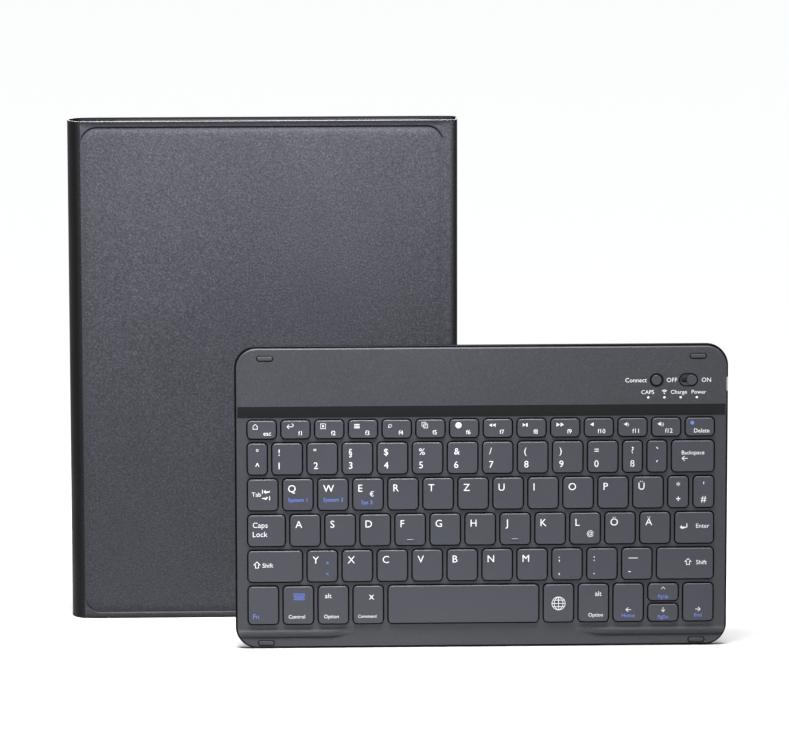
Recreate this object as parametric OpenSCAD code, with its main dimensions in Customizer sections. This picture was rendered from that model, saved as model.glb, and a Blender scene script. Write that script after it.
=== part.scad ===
// Tablet keyboard case: a leather folio with a tablet tray, closed and standing on its lower edge,
// and its detachable wireless keyboard, standing on its long edge in front of it.
// +X runs to the right as the keys are read, +Y away from the reader, +Z up.
// The origin is on the surface that both stand on, under the middle of the whole set.

/* [Folio] */
// Width of the closed folio, from the spine's crown to the free edge
folio_w = 198; // [192:1:210]
// Height of the folio along its spine
folio_h = 256; // [256:1:266]
// Thickness of the closed folio
folio_t = 20; // [20:0.5:24]
// Thickness of the leather skin
skin_t = 0.8; // [0.6:0.1:0.8]
// Thickness of the stiffening boards
board_t = 1.0; // [0.8:0.1:1.0]
// Thickness of the inner cloth lining
lining_t = 0.4; // [0.3:0.1:0.4]
// How far the spine bows out past the hinge lines
spine_bulge = 6; // [5:0.5:7]
// Outer radius of the covers' rolled free edges
edge_r = 4.2; // [3:0.2:5]
// Distance of the pressed panel line from the covers' top and bottom edges
panel_inset = 3; // [2:0.5:5]
// Width of the margin between the panel line and the free edge
panel_margin = 7.2; // [6:0.2:10]
// Corner radius of the pressed panel line
panel_r = 8.5; // [6:0.5:12]

/* [Tablet] */
// Height of the tablet that the tray holds
tablet_h = 250.6; // [247:0.1:250.6]
// Width of the tablet
tablet_w = 174.1; // [168:0.1:176]
// Thickness of the tablet
tablet_t = 7.5; // [6.5:0.1:7.5]

/* [Keyboard] */
// Width of the keyboard
kb_w = 245; // [245:1:250]
// Height of the keyboard, front edge to rear edge
kb_h = 152; // [152:1:156]
// Thickness of the keyboard at its raised rear strip
kb_t = 6.5; // [6.5:0.1:7]
// Corner radius of the keyboard
kb_r = 11; // [8:0.5:13]
// Height of the raised strip over the key deck
strip_step = 1.5; // [1.2:0.1:1.5]
// How far the keyboard's left edge stands right of the folio's spine
kb_shift = 83.8; // [40:0.2:120]
// How far the keyboard stands in front of the folio's front cover
kb_ahead = 80.6; // [40:0.2:120]

/* [Keys] */
// Centre distance of neighbouring letter keys
key_pitch = 17.41; // [17.41:0.01:17.5]
// Centre distance of the letter rows
row_pitch = 18.05; // [18:0.01:18.1]
// Width between two neighbouring key outlines
key_gap = 2.13; // [1.9:0.01:2.2]
// Height between two rows of key outlines
row_gap = 1.9; // [1.7:0.1:2]
// Width of the open ring around each key cap
key_ring = 0.6; // [0.4:0.1:0.7]
// Corner radius of a key outline
key_r = 2.2; // [1.5:0.1:2.5]
// How far a key travels
key_travel = 1.2; // [0.8:0.1:1.2]

/* [Hidden] */
$fn = 48;
eps = 0.01;

// The hinge lines stand at fold_x; both covers run from cover_x0 to cover_x1.
total_w = kb_shift + kb_w;
pad_proud = 0.25;
total_d = pad_proud + kb_ahead + folio_t;
kb_x = kb_shift - total_w / 2;
kb_y = pad_proud - total_d / 2;
fold_x = spine_bulge - total_w / 2;
folio_y = kb_y + kb_ahead;
fold_gap = 0.6;
cover_w = folio_w - spine_bulge;
lip_gap = 0.6;
inner_start = 1.5;
lip_clear = 0.3;
board_w = cover_w - skin_t - lip_clear - inner_start;
board_inset = 1;
cover_t = skin_t + board_t + lining_t;
groove_w = 0.8;
groove_deep = 0.3;

// Tray
tray_clear = 0.3;
tray_wall = 1.3;
tray_base = 1.2;
tray_lip = 1.2;
tray_lip_t = 0.8;
tray_corner_r = 12;
tray_in_w = tablet_w + 2 * tray_clear;
tray_in_h = tablet_h + 2 * tray_clear;
tray_out_w = tray_in_w + 2 * tray_wall;
tray_out_h = tray_in_h + 2 * tray_wall;
tray_x = fold_gap + (cover_w - fold_gap - tray_out_w) / 2;
tray_z = (folio_h - tray_out_h) / 2;
tray_base_y = folio_t - cover_t - tray_base;
tablet_gap = 0.1;
port_end_w = 96;
port_side_h = 88;
camera_inset = 15;
camera_r = 7.5;
camera_clear = 1;

// Magnets in the front cover, under the stowed keyboard
magnet_r = 5;
magnet_clear = 0.1;
magnet_dx = 60;
magnet_dz = 100;

// Keyboard, measured from its lower left front corner: u right, v up, depth back from the strip.
// Behind a cap lie its travel, the dome that it rests on, the rubber sheet and the steel plate.
cap_y = 0.4;
cap_t = 2.2;
dome_gap = 0.1;
dome_t = 0.35;
sheet_t = 0.35;
plate_y = cap_y + cap_t + key_travel + dome_gap + dome_t + sheet_t;
plate_t = 0.4;
deck_y = strip_step;
deck_t = 1.2;
wall_t = 1.4;
shell_lip = 1;
split_y = 2.9;
step_v0 = 116.4;
step_v1 = 122.3;
strip_t = 1.2;
floor_y = plate_y + plate_t;
strip_floor_y = 5.7;
bay_v0 = step_v1 + 1;
bay_v1 = 146.1;
bay_u = 5;
plate_inset = 3;
plate_top_v = 119;
dome_r = 2;
palm_v = 7.2;
palm_groove_h = 1.6;
palm_groove_deep = 0.4;
palm_left_u = 52;
palm_right_u = 175;

// Rows of key outlines
field_u = 6.2;
field_w = 232;
key_w = key_pitch - key_gap;
row_h = row_pitch - row_gap;
row_v1 = 33.7;
space_v = 12.3;
fn_h = 9.5;
fn_w = (field_w - 13 * key_gap) / 14;
small_w = 10.05;
caps_w = 18.8;
shift_w = 27.3;
pair_w = (field_w - 12 * key_pitch - key_gap) / 2;
back_w = field_w - 10 * key_pitch - 3 * (small_w + key_gap);
enter_w = field_w - caps_w - key_gap - 11 * key_pitch;
shift_right_w = field_w - shift_w - key_gap - 10 * key_pitch;
space_key_w = field_w - 9 * key_pitch;
space_h = row_v1 - row_gap - space_v;
arrow_gap = 1.3;
half_h = (space_h - arrow_gap) / 2;

// Each row: its lower edge, its height and its key widths from left to right
FN = 0;
DIGITS = 1;
UPPER = 2;
HOME = 3;
LOWER = 4;
BOTTOM = 5;
rows = [
    [row_v1 + 4 * row_pitch, fn_h, [for (i = [1:14]) fn_w]],
    [row_v1 + 3 * row_pitch, row_h, concat([small_w], copies(key_w, 10), [small_w, small_w, back_w])],
    [row_v1 + 2 * row_pitch, row_h, concat(copies(key_w, 12), [pair_w, pair_w])],
    [row_v1 + row_pitch, row_h, concat([caps_w], copies(key_w, 11), [enter_w])],
    [row_v1, row_h, concat([shift_w], copies(key_w, 10), [shift_right_w])],
    [space_v, space_h, concat(copies(key_w, 4), [space_key_w], copies(key_w, 5))]
];
arrow_column = 8;

// Controls on the raised strip
connect_u = 209.2;
switch_u = 225;
control_v = 134.3;
button_r = 2.5;
button_fit = 0.06;
button_ring_r = 3.45;
ring_deep = 0.5;
button_y = 0.15;
button_len = 1.9;
knob_r = 2.5;
knob_t = 0.45;
knob_y = 0.05;
knob_travel = 3.4;
stem_w = 2;
stem_len = 1.9;
stem_side_gap = 0.3;
stem_end_gap = 0.8;
slot_w = 9.4;
slot_h = 6.8;
slot_deep = 0.6;
light_v = 125.6;
light_us = [205.1, 213.1, 221.2, 229.2];
light_r = 0.75;
pad_us = [15.2, 229.8];
deck_pad_v = 2.8;
strip_pad_v = 146.3;
pad_w = 8.5;
pad_h = 2.9;
pad_deep = 0.6;
foot_inset = 14;
foot_r = 4;
foot_deep = 0.4;
foot_proud = 0.3;
usb_v = 131.8;
usb_w = 7.4;
usb_t = 2.6;
usb_y = 3;
usb_deep = 5.2;
usb_wall = 0.3;
board_y = 4.4;
pcb_t = 0.8;
pcb_u0 = 160;
pcb_u1 = 240;
pcb_v1 = 139;
battery_u0 = 34;
battery_u1 = 146;
part_gap = 0.1;
screw_r = 1;
screw_head_r = 1.8;
screw_head_t = 0.8;
boss_r = 2.4;
screw_sites = [[26, 134], [153, 134], [200, 143]];

function copies(value, n) = [for (i = [1:n]) value];
function left_of(widths, i) = i == 0 ? 0 : left_of(widths, i - 1) + widths[i - 1] + key_gap;

// Upright slab: a flat outline in X and Z, extruded from depth y0 over thickness t
module upright(y0, t) {
    translate([0, y0 + t, 0]) rotate([90, 0, 0]) linear_extrude(t) children();
}

// Rectangle with true round corners, its lower left corner at the origin
module rounded(w, h, r) {
    translate([r, 0]) square([w - 2 * r, h]);
    translate([0, r]) square([w, h - 2 * r]);
    for (x = [r, w - r], z = [r, h - r]) translate([x, z]) circle(r);
}

module rounded_ring(w, h, r, t) {
    difference() {
        rounded(w, h, r);
        translate([t, t]) rounded(w - 2 * t, h - 2 * t, r - t);
    }
}

module in_folio() {
    translate([fold_x, folio_y, 0]) children();
}

module in_keyboard() {
    translate([kb_x, kb_y, 0]) children();
}

// ---- Folio ----

// A cover's skin seen from above: flat, then rolled over its free edge towards the other cover
module skin_profile() {
    translate([fold_gap, 0]) square([cover_w - edge_r - fold_gap, skin_t]);
    intersection() {
        translate([cover_w - edge_r, edge_r]) difference() {
            circle(edge_r, $fn = 64);
            circle(edge_r - skin_t, $fn = 64);
        }
        translate([cover_w - edge_r, 0]) square(edge_r);
    }
    translate([cover_w - skin_t, edge_r]) square([skin_t, folio_t / 2 - lip_gap / 2 - edge_r]);
}

// The pressed line around the cover's panel, as cut into the outer face
module panel_groove() {
    groove_h = folio_h - 2 * panel_inset;
    groove_run = cover_w - panel_margin - fold_gap;
    translate([fold_gap, 0, panel_inset]) upright(-eps, groove_deep + eps)
        rounded_ring(groove_run, groove_h, panel_r, groove_w);
}

module camera_hole(r) {
    hole_x = tray_x + tray_out_w - camera_inset;
    hole_z = tray_z + tray_out_h - camera_inset;
    translate([hole_x, folio_t / 2, hole_z]) rotate([-90, 0, 0]) cylinder(r = r, h = folio_t);
}

module cover_skin() {
    difference() {
        linear_extrude(folio_h) skin_profile();
        panel_groove();
    }
}

// One flat inner layer of a cover, at depth y0
module inner_layer(y0, t) {
    translate([inner_start, y0, board_inset]) cube([board_w - edge_r, t, folio_h - 2 * board_inset]);
}

module magnet_sites() {
    mid_x = tray_x + tray_out_w / 2;
    for (dx = [-magnet_dx, magnet_dx], dz = [-magnet_dz, magnet_dz])
        translate([mid_x + dx, skin_t, folio_h / 2 + dz]) rotate([-90, 0, 0]) children();
}

module back_half() {
    translate([0, folio_t, 0]) mirror([0, 1, 0]) children();
}

module front_cover_skin() {
    color("#2b2c30") in_folio() cover_skin();
}

module front_cover_board() {
    color("#8a7a62") in_folio() difference() {
        inner_layer(skin_t, board_t);
        magnet_sites() translate([0, 0, -eps]) cylinder(r = magnet_r + magnet_clear, h = board_t + 1);
    }
}

module front_cover_lining() {
    color("#1f2023") in_folio() inner_layer(skin_t + board_t, lining_t);
}

module keyboard_magnets() {
    color("#b9bcc0") in_folio() magnet_sites() cylinder(r = magnet_r, h = board_t);
}

// An arc of the spine's bow, from the hinge lines out to its crown
module spine_arc(depth, t, half_h) {
    bow_r = (pow(folio_t / 2, 2) + pow(spine_bulge, 2)) / (2 * spine_bulge);
    intersection() {
        translate([bow_r - spine_bulge, folio_t / 2]) difference() {
            circle(bow_r - depth, $fn = 128);
            circle(bow_r - depth - t, $fn = 128);
        }
        translate([-2 * spine_bulge, folio_t / 2 - half_h])
            square([2 * spine_bulge - lip_clear, 2 * half_h]);
    }
}

module spine_skin() {
    color("#26272b") in_folio() linear_extrude(folio_h) spine_arc(0, skin_t, folio_t / 2);
}

module spine_board() {
    strip_half = 6;
    color("#8a7a62") in_folio() translate([0, 0, board_inset])
        linear_extrude(folio_h - 2 * board_inset) spine_arc(skin_t, board_t, strip_half);
}

module back_cover_skin() {
    color("#2b2c30") in_folio() difference() {
        back_half() cover_skin();
        camera_hole(camera_r + camera_clear);
    }
}

module back_cover_board() {
    color("#8a7a62") in_folio() difference() {
        back_half() inner_layer(skin_t, board_t);
        camera_hole(camera_r + camera_clear);
    }
}

module back_cover_lining() {
    color("#1f2023") in_folio() difference() {
        back_half() inner_layer(skin_t + board_t, lining_t);
        camera_hole(camera_r + camera_clear);
    }
}

// The tray is a hard shell: this base, and the rim below
module tablet_tray() {
    color("#3a3c40") in_folio() difference() {
        translate([tray_x, 0, tray_z]) upright(tray_base_y, tray_base)
            rounded(tray_out_w, tray_out_h, tray_corner_r + tray_wall);
        camera_hole(camera_r);
    }
}

// Walls with a lip that the tablet snaps under, open at the ports and at the side buttons
module tray_rim() {
    wall_y = tray_base_y - tablet_t - tablet_gap;
    lip_y = wall_y - tray_lip_t;
    rim_t = tray_base_y - lip_y;
    mid_z = tray_out_h / 2;
    color("#3a3c40") in_folio() translate([tray_x, 0, tray_z]) difference() {
        union() {
            upright(wall_y, tray_base_y - wall_y)
                rounded_ring(tray_out_w, tray_out_h, tray_corner_r + tray_wall, tray_wall);
            upright(lip_y, tray_lip_t)
                rounded_ring(tray_out_w, tray_out_h, tray_corner_r + tray_wall, tray_wall + tray_lip);
        }
        translate([(tray_out_w - port_end_w) / 2, lip_y - 1, -1])
            cube([port_end_w, rim_t + 2, tray_out_h + 2]);
        translate([tray_out_w / 2, lip_y - 1, mid_z - port_side_h / 2])
            cube([tray_out_w, rim_t + 2, port_side_h]);
    }
}

// ---- Keyboard ----

module case_outline(inset) {
    translate([inset, inset]) rounded(kb_w - 2 * inset, kb_h - 2 * inset, kb_r - inset);
}

// One key's outline, grown by a positive or shrunk by a negative amount
module key_outline(row, i, grow) {
    r = rows[row];
    lift = row == BOTTOM && i == arrow_column ? half_h : r[1];
    translate([field_u + left_of(r[2], i) - grow, r[0] - grow])
        rounded(r[2][i] + 2 * grow, lift + 2 * grow, key_r + grow);
}

module upper_arrow_outline(grow) {
    r = rows[BOTTOM];
    translate([field_u + left_of(r[2], arrow_column) - grow, r[0] + half_h + arrow_gap - grow])
        rounded(r[2][arrow_column] + 2 * grow, half_h + 2 * grow, key_r + grow);
}

module all_openings() {
    for (row = [FN:BOTTOM], i = [0:len(rows[row][2]) - 1]) key_outline(row, i, key_ring / 2);
    upper_arrow_outline(key_ring / 2);
}

module stadium(w, h) {
    translate([-w / 2 + h / 2, -h / 2]) square([w - h, h]);
    for (side = [-1, 1]) translate([side * (w - h) / 2, 0]) circle(h / 2);
}

// Deck with its key openings, the raised strip and its slope, and the screw posts behind it
module keyboard_top_case() {
    color("#34363b") in_keyboard() difference() {
        union() {
            difference() {
                top_case_body();
                translate([bay_u, strip_t, bay_v0]) cube([kb_w - 2 * bay_u, kb_t, bay_v1 - bay_v0]);
            }
            upright(strip_t - eps, floor_y - strip_t) screw_row() circle(boss_r);
        }
        screw_shanks(0.05);
        upright(-eps, pad_deep + eps) pad_row(strip_pad_v);
        upright(deck_y - eps, pad_deep + eps) pad_row(deck_pad_v);
        palm_grooves();
        control_openings();
    }
}

module top_case_body() {
    upright(deck_y, deck_t) difference() {
        case_outline(shell_lip);
        all_openings();
    }
    intersection() {
        upright(0, deck_y + eps) case_outline(shell_lip);
        rotate([90, 0, 90]) linear_extrude(kb_w)
            polygon([[deck_y + eps, step_v0], [0, step_v1], [0, kb_h], [deck_y + eps, kb_h]]);
    }
    upright(deck_y + deck_t - eps, split_y - deck_y - deck_t + eps) difference() {
        case_outline(shell_lip);
        case_outline(shell_lip + wall_t);
    }
}

module pad_row(v) {
    for (u = pad_us) translate([u, v]) stadium(pad_w, pad_h);
}

module palm_grooves() {
    v0 = palm_v - palm_groove_h / 2;
    translate([2, deck_y - eps, v0]) cube([palm_left_u - 2, palm_groove_deep, palm_groove_h]);
    translate([palm_right_u, deck_y - eps, v0])
        cube([kb_w - 2 - palm_right_u, palm_groove_deep, palm_groove_h]);
}

module control_openings() {
    upright(-eps, ring_deep) translate([connect_u, control_v]) circle(button_ring_r);
    upright(-1, 4) translate([connect_u, control_v]) circle(button_r + button_fit);
    upright(-eps, slot_deep) translate([switch_u, control_v]) stadium(slot_w, slot_h);
    upright(-1, 4) stem_slot();
    upright(-1, 4) for (u = light_us) translate([u, light_v]) circle(light_r);
}

module stem_slot() {
    translate([switch_u, control_v])
        stadium(stem_w + knob_travel + 2 * stem_end_gap, stem_w + 2 * stem_side_gap);
}

module screw_row() {
    for (site = screw_sites) translate(site) children();
}

module screw_shanks(grow) {
    upright(strip_t + 0.6, kb_t - strip_t) screw_row() circle(screw_r + grow);
}

module screw_heads(grow) {
    upright(kb_t - screw_head_t - grow, screw_head_t + 1) screw_row() circle(screw_head_r + grow);
}

module keyboard_bottom_case() {
    color("#101113") in_keyboard() difference() {
        upright(split_y, kb_t - split_y) case_outline(0);
        upright(split_y - eps, floor_y - split_y + eps) case_outline(wall_t + shell_lip);
        translate([bay_u, split_y, bay_v0])
            cube([kb_w - 2 * bay_u, strip_floor_y - split_y, bay_v1 - bay_v0]);
        translate([kb_w - bay_u - 1, split_y - eps, usb_v - usb_w / 2 - part_gap])
            cube([bay_u + 2, strip_floor_y - split_y, usb_w + 2 * part_gap]);
        screw_shanks(0.05);
        screw_heads(0.1);
        upright(kb_t - foot_deep, foot_deep + eps) foot_sites() circle(foot_r + 0.05);
    }
}

module foot_sites() {
    for (u = [foot_inset, kb_w - foot_inset], v = [foot_inset, kb_h - foot_inset])
        translate([u, v]) children();
}

module front_pads() {
    color("#1b1c1e") in_keyboard() {
        upright(-pad_proud, pad_deep + pad_proud) pad_row(strip_pad_v);
        upright(deck_y - pad_proud, pad_deep + pad_proud) pad_row(deck_pad_v);
    }
}

module rear_feet() {
    color("#1b1c1e") in_keyboard() upright(kb_t - foot_deep, foot_deep + foot_proud)
        foot_sites() circle(foot_r);
}

module case_screws() {
    color("#8d9094") in_keyboard() intersection() {
        union() {
            screw_shanks(0);
            screw_heads(0);
        }
        cube([kb_w, kb_t, kb_h]);
    }
}

// Rubber sheet with one dome under each key
module dome_sheet() {
    color("#202124") in_keyboard() {
        upright(plate_y - sheet_t, sheet_t) intersection() {
            case_outline(plate_inset);
            square([kb_w, plate_top_v]);
        }
        upright(plate_y - sheet_t - dome_t, dome_t + eps) for (row = [FN:BOTTOM])
            for (i = [0:len(rows[row][2]) - 1]) key_centre(row, i) circle(dome_r, $fn = 24);
        upright(plate_y - sheet_t - dome_t, dome_t + eps) upper_arrow_centre() circle(dome_r, $fn = 24);
    }
}

module steel_backplate() {
    color("#a3a7ab") in_keyboard() upright(plate_y, plate_t) intersection() {
        case_outline(plate_inset);
        square([kb_w, plate_top_v]);
    }
}

module battery() {
    cell_t = strip_floor_y - strip_t - 3 * part_gap;
    color("#6f7478") in_keyboard() translate([battery_u0, strip_t + part_gap, bay_v0 + 1])
        cube([battery_u1 - battery_u0, cell_t, bay_v1 - bay_v0 - 3]);
}

module circuit_board() {
    color("#1f6b45") in_keyboard() difference() {
        translate([pcb_u0, board_y, bay_v0 + 0.7]) cube([pcb_u1 - pcb_u0, pcb_t, pcb_v1 - bay_v0 - 0.7]);
        translate([kb_w - usb_deep - 0.2, board_y - 1, usb_v - usb_w / 2 - part_gap])
            cube([usb_deep, pcb_t + 2, usb_w + 2 * part_gap]);
    }
}

// Metal shell of the charging inlet with its tongue, open to the right
module usb_socket() {
    color("#c4c7ca") in_keyboard() translate([kb_w - usb_deep, usb_y, usb_v - usb_w / 2]) {
        difference() {
            cube([usb_deep, usb_t, usb_w]);
            translate([usb_wall, usb_wall, usb_wall])
                cube([usb_deep, usb_t - 2 * usb_wall, usb_w - 2 * usb_wall]);
        }
        translate([usb_wall - eps, usb_t / 2 - 0.3, 1.5]) cube([usb_deep - 1.5, 0.6, usb_w - 3]);
    }
}

module slide_switch_body() {
    body_w = slot_w + 1;
    body_h = 5;
    body_y = strip_t + 0.2;
    color("#55585c") in_keyboard() difference() {
        translate([switch_u - body_w / 2, body_y, control_v - body_h / 2])
            cube([body_w, board_y - body_y, body_h]);
        upright(body_y - eps, 1.3) stem_slot();
    }
}

// Round knob on a square stem, drawn at its right-hand, switched-on end
module power_switch_knob() {
    color("#3b3d41") in_keyboard() translate([switch_u + knob_travel / 2, 0, control_v]) {
        upright(knob_y, knob_t) circle(knob_r);
        translate([-stem_w / 2, knob_y + knob_t - eps, -stem_w / 2]) cube([stem_w, stem_len, stem_w]);
    }
}

module tact_switch() {
    tact_w = 4.6;
    tact_y = 2.6;
    color("#55585c") in_keyboard() translate([connect_u - tact_w / 2, tact_y, control_v - tact_w / 2])
        cube([tact_w, board_y - tact_y, tact_w]);
}

module connect_button() {
    color("#3b3d41") in_keyboard() translate([connect_u, 0, control_v])
        upright(button_y, button_len) circle(button_r);
}

module status_lights() {
    color("#e8eaec") in_keyboard() for (u = light_us) translate([u, 0, light_v])
        upright(0.05, board_y - 0.05) circle(light_r - 0.03);
}

// ---- Keys ----

module key_centre(row, i) {
    r = rows[row];
    lift = row == BOTTOM && i == arrow_column ? half_h : r[1];
    translate([field_u + left_of(r[2], i) + r[2][i] / 2, r[0] + lift / 2]) children();
}

module upper_arrow_centre() {
    translate([0, half_h + arrow_gap]) key_centre(BOTTOM, arrow_column) children();
}

module caps(row, first, last) {
    color("#3d3f44") in_keyboard() for (i = [first:last])
        upright(cap_y, cap_t) key_outline(row, i, -key_ring / 2);
}

module key_esc() {
    caps(FN, 0, 0);
}

module keys_f1_to_f4() {
    caps(FN, 1, 4);
}

module keys_f5_to_f8() {
    caps(FN, 5, 8);
}

module keys_f9_to_f12() {
    caps(FN, 9, 12);
}

module key_delete() {
    caps(FN, 13, 13);
}

module keys_caret_to_4() {
    caps(DIGITS, 0, 4);
}

module keys_5_to_9() {
    caps(DIGITS, 5, 9);
}

module keys_0_to_acute() {
    caps(DIGITS, 10, 12);
}

module key_backspace() {
    caps(DIGITS, 13, 13);
}

module key_tab() {
    caps(UPPER, 0, 0);
}

module keys_q_to_t() {
    caps(UPPER, 1, 5);
}

module keys_z_to_p() {
    caps(UPPER, 6, 10);
}

module keys_ue_to_hash() {
    caps(UPPER, 11, 13);
}

module key_caps_lock() {
    caps(HOME, 0, 0);
}

module keys_a_to_g() {
    caps(HOME, 1, 5);
}

module keys_h_to_l() {
    caps(HOME, 6, 9);
}

module keys_oe_ae() {
    caps(HOME, 10, 11);
}

module key_enter() {
    caps(HOME, 12, 12);
}

module key_shift_left() {
    caps(LOWER, 0, 0);
}

module keys_y_to_b() {
    caps(LOWER, 1, 5);
}

module keys_n_to_dash() {
    caps(LOWER, 6, 10);
}

module key_shift_right() {
    caps(LOWER, 11, 11);
}

module key_fn() {
    caps(BOTTOM, 0, 0);
}

module key_control() {
    caps(BOTTOM, 1, 1);
}

module key_alt_left() {
    caps(BOTTOM, 2, 2);
}

module key_command() {
    caps(BOTTOM, 3, 3);
}

module key_space() {
    caps(BOTTOM, 4, 4);
}

module key_globe() {
    caps(BOTTOM, 5, 5);
}

module key_alt_right() {
    caps(BOTTOM, 6, 6);
}

module key_arrow_left() {
    caps(BOTTOM, 7, 7);
}

module key_arrow_up() {
    color("#3d3f44") in_keyboard() upright(cap_y, cap_t) upper_arrow_outline(-key_ring / 2);
}

module key_arrow_down() {
    caps(BOTTOM, 8, 8);
}

module key_arrow_right() {
    caps(BOTTOM, 9, 9);
}

front_cover_skin();
front_cover_board();
front_cover_lining();
keyboard_magnets();
spine_skin();
spine_board();
back_cover_skin();
back_cover_board();
back_cover_lining();
tablet_tray();
tray_rim();
keyboard_top_case();
keyboard_bottom_case();
front_pads();
rear_feet();
case_screws();
dome_sheet();
steel_backplate();
battery();
circuit_board();
usb_socket();
slide_switch_body();
power_switch_knob();
tact_switch();
connect_button();
status_lights();
key_esc();
keys_f1_to_f4();
keys_f5_to_f8();
keys_f9_to_f12();
key_delete();
keys_caret_to_4();
keys_5_to_9();
keys_0_to_acute();
key_backspace();
key_tab();
keys_q_to_t();
keys_z_to_p();
keys_ue_to_hash();
key_caps_lock();
keys_a_to_g();
keys_h_to_l();
keys_oe_ae();
key_enter();
key_shift_left();
keys_y_to_b();
keys_n_to_dash();
key_shift_right();
key_fn();
key_control();
key_alt_left();
key_command();
key_space();
key_globe();
key_alt_right();
key_arrow_left();
key_arrow_up();
key_arrow_down();
key_arrow_right();
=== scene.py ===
"""Looks of a tablet keyboard case: a closed leather folio and its wireless keyboard, both standing.

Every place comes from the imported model. Pieces are modelled in millimetres, in the keyboard's or the
folio's own corner frame (x right, y back, z up), and IN_KEYBOARD or IN_FOLIO then puts them in place.
"""

import math

import bmesh
import bpy
from mathutils import Matrix, Vector


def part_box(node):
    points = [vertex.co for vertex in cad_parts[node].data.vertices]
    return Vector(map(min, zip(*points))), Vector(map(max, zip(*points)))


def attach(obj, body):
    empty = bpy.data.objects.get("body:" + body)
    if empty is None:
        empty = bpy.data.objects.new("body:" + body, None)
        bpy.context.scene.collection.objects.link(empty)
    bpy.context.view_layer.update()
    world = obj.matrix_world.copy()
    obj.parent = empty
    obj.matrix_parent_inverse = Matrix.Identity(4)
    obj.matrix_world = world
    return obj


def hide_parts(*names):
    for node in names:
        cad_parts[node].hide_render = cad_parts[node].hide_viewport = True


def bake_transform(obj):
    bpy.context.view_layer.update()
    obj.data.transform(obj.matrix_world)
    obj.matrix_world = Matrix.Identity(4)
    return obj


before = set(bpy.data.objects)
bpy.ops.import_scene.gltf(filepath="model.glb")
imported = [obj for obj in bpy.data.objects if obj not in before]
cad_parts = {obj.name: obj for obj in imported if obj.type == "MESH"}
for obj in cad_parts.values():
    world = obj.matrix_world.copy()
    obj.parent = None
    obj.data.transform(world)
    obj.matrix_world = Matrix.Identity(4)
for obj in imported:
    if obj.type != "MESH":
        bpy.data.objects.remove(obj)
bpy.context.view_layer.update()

MM = 0.001
KB_LOW, KB_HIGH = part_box("keyboard_bottom_case")
TOP_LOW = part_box("keyboard_top_case")[0]
COVER_LOW, COVER_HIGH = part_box("front_cover_skin")
BACK_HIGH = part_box("back_cover_skin")[1]
SPINE_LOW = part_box("spine_skin")[0]
KB_CORNER = Vector((KB_LOW.x, TOP_LOW.y, KB_LOW.z))
FOLD_GAP = 0.6
FOLD = Vector((COVER_LOW.x - FOLD_GAP * MM, COVER_LOW.y, COVER_LOW.z))
IN_KEYBOARD = Matrix.Translation(KB_CORNER) @ Matrix.Scale(MM, 4)
IN_FOLIO = Matrix.Translation(FOLD) @ Matrix.Scale(MM, 4)

# Vertices nearer than SAME_POINT are joined; edges sharper than CRISP degrees aren't smoothed
SAME_POINT = 0.0004
CRISP = 38
CASE_CRISP = 32


def local(node, corner):
    """A node's box in millimetres from a corner: low x, y, z and high x, y, z."""
    low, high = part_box(node)
    return [*((low - corner) / MM), *((high - corner) / MM)]


# ---- Outlines and lofts ----

def rounded(x0, z0, x1, z1, r, steps=6):
    """Corner points of a rounded rectangle, anticlockwise from its lower right corner."""
    points = []
    corners = ((x1 - r, z0 + r, -90), (x1 - r, z1 - r, 0), (x0 + r, z1 - r, 90), (x0 + r, z0 + r, 180))
    for cx, cz, turn in corners:
        for k in range(steps + 1):
            a = math.radians(turn + 90 * k / steps)
            points.append((cx + r * math.cos(a), cz + r * math.sin(a)))
    return points


def stadium(cx, cz, w, h, steps=14):
    """Points of a level slot with round ends; a circle where w equals h."""
    points = []
    for side, turn in ((1, -90), (-1, 90)):
        for k in range(steps):
            a = math.radians(turn + 180 * (k + 0.5) / steps)
            points.append((cx + side * (w - h) / 2 + h / 2 * math.cos(a), cz + h / 2 * math.sin(a)))
    return points


def at_depth(outline, depth):
    """A flat outline set at one depth."""
    return [(x, depth, z) for x, z in outline]


def loft(bm, rings, cap_first=False, cap_last=False, material=0):
    """Skins closed rings that have the same number of points, and gives their vertices."""
    rows = [[bm.verts.new(p) for p in ring] for ring in rings]
    count = len(rows[0])
    faces = []
    for low, high in zip(rows, rows[1:]):
        for i in range(count):
            j = (i + 1) % count
            faces.append(bm.faces.new((low[i], low[j], high[j], high[i])))
            faces[-1].smooth = True
    if cap_first:
        faces.append(bm.faces.new(rows[0]))
    if cap_last:
        faces.append(bm.faces.new(rows[-1]))
    for face in faces:
        face.material_index = material
    return rows


def fill(bm, loops):
    """Fills the flat area inside the first loop and outside the others, without smoothing it."""
    edges = []
    for loop in loops:
        for a, b in zip(loop, loop[1:] + loop[:1]):
            edges.append(bm.edges.get((a, b)) or bm.edges.new((a, b)))
    bmesh.ops.triangle_fill(bm, edges=edges, use_beauty=True, normal=(0, -1, 0))


def smooth_step(t):
    """Rises smoothly from 0 at t = 0 to 1 at t = 1."""
    t = min(max(t, 0.0), 1.0)
    return t * t * (3 - 2 * t)


def mix(a, b, t):
    """The value a share t of the way from a to b."""
    return a + (b - a) * t


def quarter(r, steps):
    """Inset and drop along a rounded edge of radius r, from its wall to its face."""
    turns = [math.radians(90 * k / steps) for k in range(steps + 1)]
    return [(r * (1 - math.cos(a)), r * (1 - math.sin(a))) for a in turns]


def part_materials(mesh):
    """Makes the edges where two materials of a mesh meet crisp."""
    first = {}
    for polygon in mesh.polygons:
        for key in polygon.edge_keys:
            if first.setdefault(key, polygon.material_index) != polygon.material_index:
                first[key] = -1
    for edge in mesh.edges:
        if first.get(edge.key) == -1:
            edge.use_edge_sharp = True


def weight_normals(obj):
    """Shades each face flat up to its rounded edges, and keeps crisp edges crisp."""
    normals = obj.modifiers.new("face_normals", "WEIGHTED_NORMAL")
    normals.keep_sharp = True


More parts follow.
